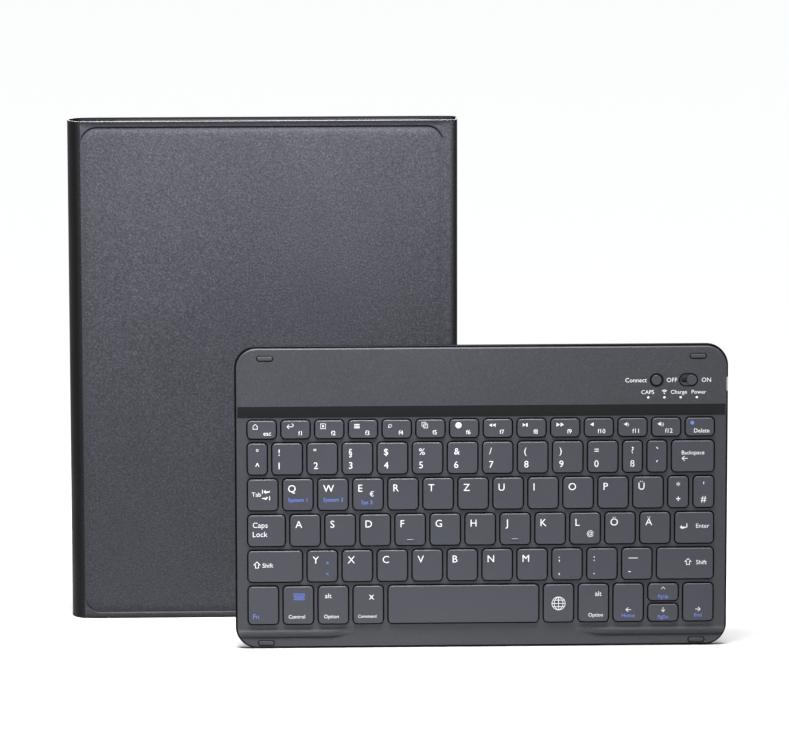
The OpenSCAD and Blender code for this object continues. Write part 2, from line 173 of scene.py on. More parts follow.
def add_object(name, data):
    """Puts a mesh, text, lamp or camera in the scene as a new object."""
    obj = bpy.data.objects.new(name, data)
    bpy.context.scene.collection.objects.link(obj)
    return obj


def mesh_of(name, bm):
    """Turns a bmesh into a mesh, and frees it."""
    mesh = bpy.data.meshes.new(name)
    bm.to_mesh(mesh)
    bm.free()
    return mesh


def piece(name, bm, place, materials, stands_for=(), body=None, sharp=CRISP):
    """Makes a finished piece from a bmesh, which `place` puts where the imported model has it."""
    bmesh.ops.remove_doubles(bm, verts=bm.verts, dist=SAME_POINT)
    bmesh.ops.recalc_face_normals(bm, faces=bm.faces)
    bm.transform(place)
    mesh = mesh_of(name, bm)
    mesh.set_sharp_from_angle(angle=math.radians(sharp))
    part_materials(mesh)
    for material in materials:
        mesh.materials.append(material)
    obj = add_object(name, mesh)
    weight_normals(obj)
    if stands_for:
        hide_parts(*stands_for)
    if body:
        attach(obj, body)
    return obj


# ---- Materials ----

def node_at(tree, kind, **settings):
    """Adds a shader node of one kind with some of its settings."""
    node = tree.nodes.new(kind)
    for key, value in settings.items():
        setattr(node, key, value)
    return node


def noise(tree, coords, size_mm, detail):
    """Noise with blobs of about size_mm."""
    texture = node_at(tree, "ShaderNodeTexNoise")
    texture.inputs["Scale"].default_value = 1 / (size_mm * MM)
    texture.inputs["Detail"].default_value = detail
    texture.inputs["Roughness"].default_value = 0.5
    tree.links.new(coords, texture.inputs["Vector"])
    return texture.outputs["Fac"]


def stretch(tree, value, low, high, to_low, to_high):
    """Maps low..high onto to_low..to_high and holds the ends."""
    node = node_at(tree, "ShaderNodeMapRange")
    for key, number in (("From Min", low), ("From Max", high), ("To Min", to_low), ("To Max", to_high)):
        node.inputs[key].default_value = number
    tree.links.new(value, node.inputs["Value"])
    return node.outputs["Result"]


def blend_colors(tree, factor, a, b):
    """Blends two colours, each a colour or an output, by a factor."""
    node = node_at(tree, "ShaderNodeMix", data_type="RGBA")
    tree.links.new(factor, node.inputs["Factor"])
    for key, color in (("A", a), ("B", b)):
        socket = [s for s in node.inputs if s.name == key and s.type == "RGBA"][0]
        if isinstance(color, tuple):
            socket.default_value = (*color, 1)
        else:
            tree.links.new(color, socket)
    return [s for s in node.outputs if s.type == "RGBA"][0]


def shade(color, factor):
    """A colour made darker or lighter."""
    return tuple(min(c * factor, 1.0) for c in color)


# Colours, as shares of the base colour, of a material's dots, painted edge highlights and painted edge shade
LIGHT_DOTS = 2.6
EDGE_GLINT = 2.2
FULL_EDGE_SHADE = 0.04
ROUGH_VARY = 0.05
BUMP_DEPTH = 0.1
EDGE_SHADE_LAYER = "painted_edge_shade"


def relief_height(tree, coords, cells_mm, weave_mm):
    """The height of a leather's cells or of a woven cloth, or None for plain grain."""
    if cells_mm:
        cells = node_at(tree, "ShaderNodeTexVoronoi", feature="SMOOTH_F1")
        cells.inputs["Scale"].default_value = 1 / (cells_mm * MM)
        tree.links.new(coords, cells.inputs["Vector"])
        return cells.outputs["Distance"]
    if weave_mm:
        threads = node_at(tree, "ShaderNodeTexWave", wave_type="BANDS", bands_direction="DIAGONAL")
        threads.inputs["Scale"].default_value = 1 / (weave_mm * MM)
        threads.inputs["Distortion"].default_value = 2.0
        tree.links.new(coords, threads.inputs["Vector"])
        return threads.outputs["Fac"]
    return None


def surface(name, color, roughness, grain_mm=0.5, bump=0.1, vary=0.12, speckle=0.1, patch_mm=45, mottle=0.0,
            cells_mm=0, weave_mm=0, edge_glint=0.0, shaded_edges=False, metallic=0.0, specular=0.5, coat=0.0):
    """A procedural material: broad patches, mottling, fine speckle, grain bump, painted highlight on sharp
    edges and painted shade where the mesh asks for it.
    """
    made = bpy.data.materials.new(name)
    made.use_nodes = True
    tree = made.node_tree
    shader = tree.nodes["Principled BSDF"]
    coords = node_at(tree, "ShaderNodeTexCoord").outputs["Object"]
    patches = noise(tree, coords, patch_mm, 3)
    grains = noise(tree, coords, grain_mm, 2)
    spread = stretch(tree, patches, 0.3, 0.7, 0, 1)
    paint = blend_colors(tree, spread, shade(color, 1 - vary), shade(color, 1 + vary))
    if mottle:
        blots = noise(tree, coords, grain_mm, 1)
        paint = blend_colors(tree, stretch(tree, blots, 0.62, 0.35, 0, mottle), paint, (0.0, 0.0, 0.0))
    paint = blend_colors(tree, stretch(tree, grains, 0.62, 0.8, 0, speckle), paint, shade(color, LIGHT_DOTS))
    # Painted highlight: sharp convex edges are lightened up to 2.2 times the base colour
    if edge_glint:
        points = node_at(tree, "ShaderNodeNewGeometry").outputs["Pointiness"]
        paint = blend_colors(tree, stretch(tree, points, 0.52, 0.62, 0, edge_glint), paint, shade(color, EDGE_GLINT))
    # Painted shade: the colour darkens towards near black as the mesh's painted-shade attribute rises
    if shaded_edges:
        edge_shade = node_at(tree, "ShaderNodeAttribute", attribute_name=EDGE_SHADE_LAYER).outputs["Fac"]
        paint = blend_colors(tree, edge_shade, paint, shade(color, FULL_EDGE_SHADE))
    tree.links.new(paint, shader.inputs["Base Color"])
    gloss = stretch(tree, patches, 0.3, 0.7, roughness - ROUGH_VARY, roughness + ROUGH_VARY)
    tree.links.new(gloss, shader.inputs["Roughness"])
    height = relief_height(tree, coords, cells_mm, weave_mm) or grains
    relief = node_at(tree, "ShaderNodeBump")
    relief.inputs["Strength"].default_value = bump
    relief.inputs["Distance"].default_value = BUMP_DEPTH * MM
    tree.links.new(height, relief.inputs["Height"])
    tree.links.new(relief.outputs["Normal"], shader.inputs["Normal"])
    shader.inputs["Metallic"].default_value = metallic
    shader.inputs["Specular IOR Level"].default_value = specular
    shader.inputs["Coat Weight"].default_value = coat
    return made


LEATHER = surface("leather", (0.038, 0.0388, 0.0468), 0.5, grain_mm=0.7, cells_mm=1.1, bump=0.9,
                  speckle=0.5, vary=0.05, mottle=0.4, shaded_edges=True, specular=0.12)
# Light grey for the skins' top and bottom edge faces: a painted highlight
LEATHER_EDGE_HIGHLIGHT = surface("leather_edge_painted_highlight", (0.2, 0.2, 0.21), 0.7, grain_mm=0.2, bump=0.3)
CASE = surface("case_plastic", (0.037, 0.0395, 0.0475), 0.5, grain_mm=0.6, bump=0.5, speckle=0.5, vary=0.05,
               mottle=0.25)
# Near-black slope between the deck and the raised strip: painted shade
STEP_SHADE = surface("case_step_painted_shade", (0.008, 0.009, 0.011), 0.5, grain_mm=0.5, bump=0.1, vary=0.05, specular=0.2)
# The caps' sharp edges carry a painted highlight
KEYS = surface("key_plastic", (0.04, 0.042, 0.055), 0.45, grain_mm=0.5, bump=0.15, speckle=0.12,
               vary=0.05, edge_glint=0.6)
SHELL = surface("gloss_shell", (0.003, 0.003, 0.0035), 0.3, grain_mm=1.5, bump=0.03, specular=0.06)
# Near-black for recesses, pockets and light holes: partly a black inset, partly painted shade
RECESS_SHADE = surface("recess_black_and_shade", (0.004, 0.004, 0.005), 0.6, grain_mm=0.6, bump=0.1, specular=0.2)
WHITE_INK = surface("white_ink", (0.8, 0.8, 0.82), 0.5, grain_mm=0.2, bump=0.05, vary=0.03)
BLUE_INK = surface("blue_ink", (0.13, 0.2, 0.62), 0.5, grain_mm=0.2, bump=0.05, vary=0.03)
PAD = surface("soft_rubber", (0.035, 0.037, 0.042), 0.7, grain_mm=0.3, bump=0.2)
LINING = surface("microfibre", (0.012, 0.012, 0.014), 0.9, specular=0.1, grain_mm=0.25, weave_mm=0.9,
                 bump=0.5, vary=0.2, patch_mm=20)
# Near-black board: painted shade for the dark gap between the covers, shown on the back cover's edge faces
SHADED_BOARD = surface("greyboard", (0.008, 0.008, 0.008), 0.9, specular=0.1, grain_mm=0.6, bump=0.3, vary=0.15)
TRAY = surface("tray_plastic", (0.014, 0.014, 0.016), 0.5, specular=0.2, grain_mm=0.4, bump=0.25,
               speckle=0.1, edge_glint=0.3)
METAL = surface("plate_steel", (0.55, 0.56, 0.57), 0.35, grain_mm=0.8, bump=0.1, metallic=1.0)
MAGNET = surface("magnet_metal", (0.7, 0.7, 0.72), 0.2, grain_mm=0.6, bump=0.05, metallic=1.0)
FOIL = surface("battery_foil", (0.5, 0.52, 0.54), 0.4, grain_mm=3, bump=0.3, metallic=0.8)
GREEN = surface("board_green", (0.03, 0.16, 0.08), 0.3, grain_mm=0.8, bump=0.15, patch_mm=8, coat=0.4)
SOCKET = surface("socket_metal", (0.62, 0.62, 0.63), 0.3, grain_mm=0.4, bump=0.08, metallic=1.0)
SWITCH = surface("switch_plastic", (0.08, 0.08, 0.085), 0.5, grain_mm=0.4, bump=0.15)
# Near-black dome sheet: painted shade seen through the gaps round the caps
DOMES_SHADE = surface("dome_rubber", (0.012, 0.012, 0.013), 0.7, grain_mm=0.5, bump=0.1, specular=0.2)
LIGHT = surface("light_pipe", (0.85, 0.87, 0.9), 0.35, grain_mm=0.3, bump=0.03, vary=0.02, coat=0.5)
SCREW = surface("screw_steel", (0.4, 0.4, 0.42), 0.35, grain_mm=0.3, bump=0.1, metallic=1.0)


# ---- Keyboard case ----

# Sizes in millimetres; those of the case's walls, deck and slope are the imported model's
KB_W, KB_H = [(b - a) / MM for a, b in ((KB_LOW.x, KB_HIGH.x), (KB_LOW.z, KB_HIGH.z))]
KB_T = (KB_HIGH.y - KB_CORNER.y) / MM
KB_R = 11.0
SPLIT = (KB_LOW.y - KB_CORNER.y) / MM
LIP = (TOP_LOW.x - KB_LOW.x) / MM
DECK = 1.5
SHEET = 1.2
WALL = 1.4
STEP_LOW, STEP_HIGH = 116.4, 122.3
RISER = 118.9
TOP_EDGE = 0.3
PALM_ROWS = 40
PALM_COLUMNS = 160
CORNER_STEPS = 12
# A loop's points that belong to one height are found within NEAR of it
NEAR = 0.01
RISER_HALF = 0.05
KEY_RING = 0.6
HOLE_EDGE = 0.12
# A flat border kept beside each rounded edge of the upper case
FLAT = 0.15
CAP_R = 1.9
# The upper case's materials: plastic, black recess with painted shade, and dark slope in painted shade
IN_RECESS_SHADE, IN_STEP_SHADE = 1, 2

# Pockets for the front pads, and the lower shell's edges and floors
POCKET_EDGE = 0.08
POCKET_DEEP = 0.55
SHELL_RIM = 0.45
BACK_EDGE = 1.2
FLOOR = 5.0
STRIP_FLOOR = 5.7

# The moulded line across each side of the palm rest: a bead with a groove below it
BEAD_V = 7.2
BEAD_HALF = 1.0
BEAD_TALL = 0.75
BEAD_RISE = 1.7
LEFT_BEAD = (46, 62)
RIGHT_BEAD = (184, 166)


def face_depth(z):
    """Depth of the case's front face: the deck, the slope and the raised strip."""
    return DECK * (1 - min(max((z - STEP_LOW) / (STEP_HIGH - STEP_LOW), 0), 1))


def bead(x, z):
    """Height of the moulded palm line at a point of the deck."""
    total = 0
    for full, gone in (LEFT_BEAD, RIGHT_BEAD):
        fade = smooth_step((x - gone) / (full - gone))
        t = (z - BEAD_V - BEAD_RISE * (1 - fade)) / BEAD_HALF
        total += fade * t * math.exp(0.5 - t * t / 2) * BEAD_TALL
    return total


def front(x, z):
    """Depth of the case's front face with the palm lines."""
    return face_depth(z) - (bead(x, z) if z < KB_R else 0)


def corner_row(j, inset):
    """Left-hand point of row j of the palm rest, from the bottom edge up round the corner."""
    a = math.radians(90 * j / PALM_ROWS)
    r = KB_R - inset
    return KB_R - r * math.sin(a), KB_R - r * math.cos(a)


def case_outline(inset):
    """The case's outline with a point wherever its face or its inside changes."""
    left = [corner_row(j, inset) for j in range(PALM_ROWS + 1)]
    right = [(KB_W - x, z) for x, z in left]
    bottom = [(mix(left[0][0], right[0][0], c / PALM_COLUMNS), left[0][1]) for c in range(1, PALM_COLUMNS)]
    side = (STEP_LOW, RISER - RISER_HALF, RISER + RISER_HALF, STEP_HIGH)
    r = KB_R - inset
    upper = []
    for cx, turn in ((KB_W - KB_R, 0), (KB_R, 90)):
        for k in range(CORNER_STEPS + 1):
            a = math.radians(turn + 90 * k / CORNER_STEPS)
            upper.append((cx + r * math.cos(a), KB_H - KB_R + r * math.sin(a)))
    right_side = [(KB_W - inset, z) for z in side]
    left_side = [(inset, z) for z in reversed(side)]
    return bottom + right + right_side + upper + left_side + left[::-1]


def part_of(row, low, high):
    """The vertices of a ring between two heights, in ring order."""
    return [v for v in row if low <= v.co.z <= high]


def bridge(bm, row, low, high, material=0):
    """One face right across the case, between a ring's two sides from low to high."""
    span = part_of(row, low, high)
    right = sorted((v for v in span if v.co.x > KB_W / 2), key=lambda v: v.co.z)
    left = sorted((v for v in span if v.co.x < KB_W / 2), key=lambda v: -v.co.z)
    bm.faces.new(right + left).material_index = material


def pad_pocket(bm, pad, depth):
    """The pocket that a front pad sits in, near-black partly as a black inset and partly as painted shade;
    gives its rim.
    """
    u, v, w, h = pad
    rings = [at_depth(stadium(u, v, w + 2 * POCKET_EDGE, h + 2 * POCKET_EDGE), depth),
             at_depth(stadium(u, v, w, h), depth + POCKET_EDGE),
             at_depth(stadium(u, v, w, h), depth + POCKET_DEEP)]
    return loft(bm, rings, cap_last=True, material=IN_RECESS_SHADE)[0]


def palm_rest(bm, pads):
    """The curved face below the space bar, with a pocket for each pad; gives its upper row."""
    inset = LIP + TOP_EDGE + FLAT
    rows = []
    for j in range(PALM_ROWS + 1):
        x0, z = corner_row(j, inset)
        xs = [mix(x0, KB_W - x0, c / PALM_COLUMNS) for c in range(PALM_COLUMNS + 1)]
        rows.append([bm.verts.new((x, front(x, z), z)) for x in xs])
    gaps = [{} for _ in pads]
    for low, high in zip(rows, rows[1:]):
        for i in range(PALM_COLUMNS):
            quad = (low[i], low[i + 1], high[i + 1], high[i])
            middle = sum((v.co for v in quad), Vector()) / 4
            over = [k for k, (u, v, w, h) in enumerate(pads)
                    if abs(middle.x - u) < w / 2 + 0.8 and abs(middle.z - v) < h / 2 + 0.35]
            if not over:
                bm.faces.new(quad).smooth = True
                continue
            gap = gaps[over[0]]
            for pair in zip(quad, quad[1:] + quad[:1]):
                if gap.pop(frozenset(pair), None) is None:
                    gap[frozenset(pair)] = pair
    for pad, gap in zip(pads, gaps):
        rim = pad_pocket(bm, pad, DECK)
        edges = [bm.edges.get(pair) for pair in zip(rim, rim[1:] + rim[:1])]
        edges += [bm.edges.get(pair) or bm.edges.new(pair) for pair in gap.values()]
        bmesh.ops.triangle_fill(bm, edges=edges, use_beauty=True, normal=(0, -1, 0))
    return rows[-1]


def key_opening(bm, box):
    """The walls of a key's opening; gives its front loop and its back loop."""
    x0, _, z0, x1, _, z1 = box

    def outline(inset):
        grow = KEY_RING + inset
        return rounded(x0 - grow, z0 - grow, x1 + grow, z1 + grow, CAP_R + grow)

    edge = [(HOLE_EDGE + FLAT, 0), *reversed(quarter(HOLE_EDGE, 3))]
    rings = [at_depth(outline(inset), DECK + drop) for inset, drop in edge]
    rows = loft(bm, rings + [at_depth(outline(0), DECK + SHEET)])
    return rows[0], rows[-1]


def light_opening(bm, u, v, r):
    """The hole for a status light; gives its front loop and its back loop."""
    rows = loft(bm, [at_depth(stadium(u, v, 2 * r, 2 * r), d) for d in (0, SHEET)], material=IN_RECESS_SHADE)
    return rows[0], rows[-1]


def recess(bm, place, size, deep, stem, floor):
    """A recess round a control, with a hole for its stem; gives its front loop and the hole's back."""
    u, v = place
    w, h = size
    walls = [at_depth(stadium(u, v, w + 0.2, h + 0.2), 0), at_depth(stadium(u, v, w, h), 0.12),
             at_depth(stadium(u, v, w, h), deep)]
    hole = [at_depth(stadium(u, v, *stem), depth) for depth in (deep, SHEET)]
    ledge = at_depth(stadium(u, v, w - 1.2, h - 1.2), deep)
    loft(bm, [walls[-1], ledge], material=IN_RECESS_SHADE)
    loft(bm, [ledge, hole[0]], material=floor)
    return loft(bm, walls, material=IN_RECESS_SHADE)[0], loft(bm, hole, material=IN_RECESS_SHADE)[-1]


def case_top(caps, deck_pads, strip_pads, lights, recesses):
    """Deck, slope, raised strip and side wall of the keyboard's upper case."""
    bm = bmesh.new()
    rings = [[(x, front(x, z), z) for x, z in case_outline(LIP + TOP_EDGE + FLAT)]]
    for inset, drop in reversed(quarter(TOP_EDGE, 4)):
        rings.append([(x, front(x, z) + drop, z) for x, z in case_outline(LIP + inset)])
    rings.append(at_depth(case_outline(LIP), SPLIT))
    rings.append(at_depth(case_outline(LIP + WALL), SPLIT))
    rings.append([(x, SHEET if z > RISER else DECK + SHEET, z) for x, z in case_outline(LIP + WALL)])
    rows = loft(bm, rings)
    border, inside = rows[0], rows[-1]
    keys = [key_opening(bm, box) for box in caps]
    deck_top = sorted(part_of(border, STEP_LOW - NEAR, STEP_LOW + NEAR), key=lambda v: -v.co.x)
    fill(bm, [palm_rest(bm, deck_pads) + deck_top] + [first for first, _ in keys])
    bridge(bm, border, STEP_LOW - NEAR, STEP_HIGH + NEAR, IN_STEP_SHADE)
    pockets = [pad_pocket(bm, pad, 0) for pad in strip_pads]
    holes = [light_opening(bm, *light) for light in lights] + [recess(bm, *control) for control in recesses]
    fill(bm, [part_of(border, STEP_HIGH - NEAR, KB_H)] + pockets + [first for first, _ in holes])
    fill(bm, [part_of(inside, 0, RISER)] + [last for _, last in keys])
    fill(bm, [part_of(inside, RISER, KB_H)] + [last for _, last in holes])
    bridge(bm, inside, RISER - RISER_HALF - NEAR, RISER + RISER_HALF + NEAR)
    return bm


def case_bottom(sites):
    """The glossy lower shell, hollow inside, with a pocket in its back at each x, z, radius, depth."""
    bm = bmesh.new()
    outside = [at_depth(case_outline(inset), SPLIT + rise) for inset, rise in reversed(quarter(SHELL_RIM, 3))]
    back = [at_depth(case_outline(inset), KB_T - drop) for inset, drop in quarter(BACK_EDGE, 4)]
    wall = case_outline(LIP + WALL)
    inner = [(x, STRIP_FLOOR if z > RISER else FLOOR, z) for x, z in wall]
    rows = loft(bm, [inner, at_depth(wall, SPLIT)] + outside + back)
    floor_loop, back_loop = rows[0], rows[-1]
    holes = []
    for u, v, r, deep in sites:
        rings = [at_depth(stadium(u, v, 2 * r + 0.2, 2 * r + 0.2), KB_T),
                 at_depth(stadium(u, v, 2 * r, 2 * r), KB_T - 0.1),
                 at_depth(stadium(u, v, 2 * r, 2 * r), KB_T - deep)]
        holes.append(loft(bm, rings, cap_last=True)[0])
    fill(bm, [back_loop] + holes)
    fill(bm, [part_of(floor_loop, 0, RISER)])
    fill(bm, [part_of(floor_loop, RISER, KB_H)])
    bridge(bm, floor_loop, RISER - RISER_HALF - NEAR, RISER + RISER_HALF + NEAR)
    return bm


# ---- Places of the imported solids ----

def centre_size(box):
    """Middle x and z, and width and height, of a box."""
    return (box[0] + box[3]) / 2, (box[2] + box[5]) / 2, box[3] - box[0], box[5] - box[2]


def solids(node, corner):
    """The boxes of a node's separate solids, found from which vertices its faces join."""
    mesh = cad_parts[node].data
    spots = {}
    label = [spots.setdefault(tuple(round(c, 6) for c in v.co), v.index) for v in mesh.vertices]
    parent = {index: index for index in label}

    def root(index):
        while parent[index] != index:
            index = parent[index]
        return index

    for polygon in mesh.polygons:
        ends = [root(label[i]) for i in polygon.vertices]
        for end in ends[1:]:
            parent[root(end)] = root(ends[0])
    groups = {}
    for vertex in mesh.vertices:
        groups.setdefault(root(label[vertex.index]), []).append((vertex.co - corner) / MM)
    boxes = []
    for points in groups.values():
        boxes.append([f(p[axis] for p in points) for f in (min, max) for axis in range(3)])
    return sorted(boxes)


# ---- Key caps and their legends ----

CAP_EDGE = 0.38
CAP_TAPER = 0.06
CAP_DISH = 0.14
INK = 0.03
# Height of the font's capitals as a share of its size
CAPITAL = 0.682
WHITE, BLUE = 1, 2


def dish(box, x, z):
    """Depth below the rim of a cap's slightly hollow top."""
    x0, _, z0, x1, _, z1 = box
    edge = CAP_TAPER + CAP_EDGE
    reach = min(x1 - x0, z1 - z0) / 2 - edge
    inside = min(x - x0, x1 - x, z - z0, z1 - z) - edge
    t = min(max(inside / reach, 0), 1)
    return CAP_DISH * (1 - (1 - t) ** 2)


def cap(bm, box):
    """One key cap: a tapered skirt, a rounded edge and a hollow top."""
    x0, y0, z0, x1, y1, z1 = box

    def outline(inset):
        return rounded(x0 + inset, z0 + inset, x1 - inset, z1 - inset, max(CAP_R - inset, 0.3))

    rings = [at_depth(outline(0), y1)]
    rings += [at_depth(outline(CAP_TAPER + inset), y0 + drop) for inset, drop in quarter(CAP_EDGE, 4)]
    edge = CAP_TAPER + CAP_EDGE
    reach = min(x1 - x0, z1 - z0) / 2 - edge
    for t in (0.12, 0.3, 0.55, 0.8):
        inset = edge + t * reach
        rings.append(at_depth(outline(inset), y0 + CAP_DISH * (1 - (1 - t) ** 2)))
    loft(bm, rings, cap_first=True, cap_last=True)


class Pen:
    """Turns text into thin solids of ink."""

    def __init__(self):
        self.curve = bpy.data.curves.new("pen", "FONT")
        self.curve.resolution_u = 3
        self.curve.extrude = INK
        self.holder = add_object("pen", self.curve)
        self.known = {}

    def shapes(self, text, height):
        """Points and faces of a text whose capitals are `height` tall."""
        if (text, height) not in self.known:
            self.curve.body = text
            self.curve.size = height / CAPITAL
            bpy.context.view_layer.update()
            shown = self.holder.evaluated_get(bpy.context.evaluated_depsgraph_get())
            mesh = shown.to_mesh()
            points = [tuple(v.co) for v in mesh.vertices]
            faces = [tuple(p.vertices) for p in mesh.polygons]
            shown.to_mesh_clear()
            self.known[(text, height)] = (points, faces)
        return self.known[(text, height)]

    def put_away(self):
        """Removes the text object once everything is written."""
        bpy.data.objects.remove(self.holder)
        bpy.data.curves.remove(self.curve)


pen = Pen()


def write(bm, text, height, x, z, depth, ink=WHITE, hold="left"):
    """Prints text with its baseline at z. hold says whether x is its left end, middle or right end."""
    points, faces = pen.shapes(text, height)
    if not points:
        return
    low, high = min(p[0] for p in points), max(p[0] for p in points)
    start = {"left": low, "middle": (low + high) / 2, "right": high}[hold]
    verts = []
    for px, pz, out in points:
        where = (x + px - start, z + pz)
        verts.append(bm.verts.new((where[0], depth(*where) - out, where[1])))
    for face in faces:
        if len(set(face)) > 2:
            try:
                bm.faces.new([verts[i] for i in face]).material_index = ink
            except ValueError:
                continue


def mark(text, height, x, z, ink=WHITE):
    """A legend on a cap. x counts from the left edge, or if negative from the right, and 0 is the
    middle. z is the baseline above the lower edge, or if negative the capitals' top below the upper."""
    return text, height, x, z, ink


def print_mark(bm, box, text, height, x, z, ink):
    """Prints a legend on the cap that fills box."""
    x0, y0, z0, x1, _, z1 = box
    at_x, hold = (x0 + x, "left") if x > 0 else (x1 + x, "right")
    if x == 0:
        at_x, hold = (x0 + x1) / 2, "middle"
    at_z = z0 + z if z > 0 else z1 + z - height
    write(bm, text, height, at_x, at_z, lambda px, pz: y0 + dish(box, px, pz), ink, hold)


def letter(text, *more):
    """A letter in the upper left corner, with any more legends of its cap."""
    return [mark(text, 3.5, 2.5, -2.9), *more]


def double(upper, lower):
    """Two characters, one above the other, on the left."""
    return [mark(upper, 3.2, 3.1, -2.9), mark(lower, 3.3, 3.1, 2.7)]


def narrow(upper, lower):
    """Two characters, one above the other, in the middle."""
    return [mark(upper, 3.2, 0, -2.9), mark(lower, 3.2, 0, 2.7)]


def function_key(icon, label, size=2.5, gap=3.9):
    """An icon in the upper left corner and its key's name in the lower right."""
    return [mark(icon, size, 2.6, size / 2 - 2.9), mark(label, 2.1, -gap, 1.6)]


LEGENDS = {
    "key_esc": [function_key("⌂", "esc", 2.6, 2.4)],
    "keys_f1_to_f4": [function_key(icon, f"f{k + 1}") for k, icon in enumerate("↩▣☰⌕")],
    "keys_f5_to_f8": [function_key("⧉", "f5"), function_key("●", "f6", 2.8),
                      function_key("◀◀", "f7", 1.3), function_key("▶❚", "f8", 1.3)],
    "keys_f9_to_f12": [function_key("▶▶", "f9", 1.5), function_key("◀", "f10", 1.5),
                       function_key("◀)", "f11", 1.5), function_key("◀))", "f12", 1.5)],
    "key_delete": [[mark("●", 1.8, 2.2, -1.5, BLUE), mark("Delete", 2.0, -2.2, 1.6)]],
    "keys_caret_to_4": [narrow("°", "^")] + [double(*pair) for pair in ("!1", "\"2", "§3", "$4")],
    "keys_5_to_9": [double(*pair) for pair in ("%5", "&6", "/7", "(8", ")9")],
    "keys_0_to_acute": [double("=", "0"), narrow("?", "ß"),
                        [mark("`", 4.4, 0, -2.9), mark("´", 4.4, 0, 1.6)]],
    "key_backspace": [[mark("Backspace", 1.9, 4.8, -5.0), mark("←", 2.8, 4.8, -7.4)]],
    "key_tab": [[mark("Tab", 2.1, 1.9, -6.4), mark("⇤", 3.2, 7.0, -4.6), mark("⇥", 3.2, 7.0, -7.9)]],
    "keys_q_to_t": [letter("Q", mark("System 1", 1.9, 2.5, 4.3, BLUE)),
                    letter("W", mark("System 2", 1.9, 2.5, 4.3, BLUE)),
                    letter("E", mark("€", 2.4, -4.5, -6.4), mark("Sys 3", 1.9, 4.0, 2.8, BLUE)),
                    letter("R"), letter("T")],
    "keys_z_to_p": [letter(c) for c in "ZUIOP"],
    "keys_ue_to_hash": [letter("Ü"), narrow("*", "+"), narrow("'", "#")],
    "key_caps_lock": [[mark("Caps", 2.6, 2.3, -3.6), mark("Lock", 2.6, 2.3, -8.2)]],
    "keys_a_to_g": [letter(c) for c in "ASDFG"],
    "keys_h_to_l": [letter("H"), letter("J"), letter("K"), letter("L", mark("@", 2.4, -3.2, 4.2))],
    "keys_oe_ae": [letter("Ö"), letter("Ä")],
    "key_enter": [[mark("↵", 3.2, 2.3, -5.8), mark("Enter", 2.1, -2.0, -5.8)]],
    "key_shift_left": [[mark("⇧", 3.0, 2.4, -5.6), mark("Shift", 2.1, 7.0, -6.2)]],
    "keys_y_to_b": [letter("Y", mark(">", 2.0, -4.2, -5.2, BLUE), mark("<", 2.0, -4.2, 2.9, BLUE))]
                   + [letter(c) for c in "XCVB"],
    "keys_n_to_dash": [letter("N"), letter("M"), double(";", ","), double(":", "."), double("—", "-")],
    "key_shift_right": [[mark("⇧", 3.0, -10.6, -5.6), mark("Shift", 2.1, -3.1, -6.2)]],
    "key_fn": [[mark("Fn", 2.4, 2.2, 2.7, BLUE)]],
    "key_control": [[mark("⌨", 3.4, 5.0, -3.4, BLUE), mark("Control", 1.75, 2.5, 2.8)]],
    "key_alt_left": [[mark("alt", 2.3, 3.2, -3.6), mark("Option", 1.75, 2.7, 2.8)]],
    "key_command": [[mark("x", 3.6, -4.4, -3.2), mark("Command", 1.5, 2.2, 2.9)]],
    "key_space": [[]],
    "key_globe": [[mark("🌐", 4.6, 0, 7.0)]],
    "key_alt_right": [[mark("alt", 2.3, -3.3, -3.6), mark("Option", 1.75, -2.6, 2.5)]],
    "key_arrow_left": [[mark("←", 2.5, 0, 4.7), mark("Home", 1.8, 0, 2.1, BLUE)]],
    "key_arrow_up": [[mark("↑", 2.2, 0, -1.7), mark("PgUp", 1.7, 0, 1.2, BLUE)]],
    "key_arrow_down": [[mark("↓", 2.2, 0, -1.7), mark("PgDn", 1.7, 0, 1.2, BLUE)]],
    "key_arrow_right": [[mark("→", 2.5, 0, 4.7), mark("End", 1.8, 0, 2.1, BLUE)]],
}
# Which cap of a node has the homing bar: F and J
HOMING = {"keys_a_to_g": 3, "keys_h_to_l": 1}


def homing_bar(bm, box):
    """The small raised bar that a finger finds on the F and J caps."""
    x, z = (box[0] + box[3]) / 2, box[2] + 2.6
    depth = box[1] + dish(box, x, z)
    rings = [at_depth(stadium(x, z, 3.6, 0.7), depth + 0.1), at_depth(stadium(x, z, 3.6, 0.7), depth - 0.05),
             at_depth(stadium(x, z, 3.3, 0.4), depth - 0.2)]
    loft(bm, rings, cap_last=True)


def make_keys():
    """Builds every key node's caps with their legends, and gives all the caps' boxes."""
    boxes = []
    for node, legends in LEGENDS.items():
        bm = bmesh.new()
        caps = solids(node, KB_CORNER)
        for k, (box, marks) in enumerate(zip(caps, legends)):
            cap(bm, box)
            if HOMING.get(node) == k:
                homing_bar(bm, box)
            for entry in marks:
                print_mark(bm, box, *entry)
        piece("caps_" + node, bm, IN_KEYBOARD, [KEYS, WHITE_INK, BLUE_INK], [node], node)
        boxes += caps
    return boxes


# ---- Small parts of the keyboard ----

def domed(bm, place_size, front_y, back_y, edge, rise=0.0):
    """A round or oblong button: straight wall, rounded edge and a slightly crowned face."""
    u, v, w, h = place_size
    rings = [at_depth(stadium(u, v, w, h), back_y)]
    for inset, drop in quarter(edge, 4):
        rings.append(at_depth(stadium(u, v, w - 2 * inset, h - 2 * inset), front_y + drop))
    reach = h / 2 - edge
    for t in (0.35, 0.7):
        inset = edge + t * reach
        crown = front_y - rise * (1 - (1 - t) ** 2)
        rings.append(at_depth(stadium(u, v, w - 2 * inset, h - 2 * inset), crown))
    loft(bm, rings, cap_first=True, cap_last=True)


def add_pad(bm, box):
    """A front pad, a little smaller than its pocket."""
    u, v, w, h = centre_size(box)
    domed(bm, (u, v, w - 0.9, h - 0.9), box[1], box[4], 0.3)


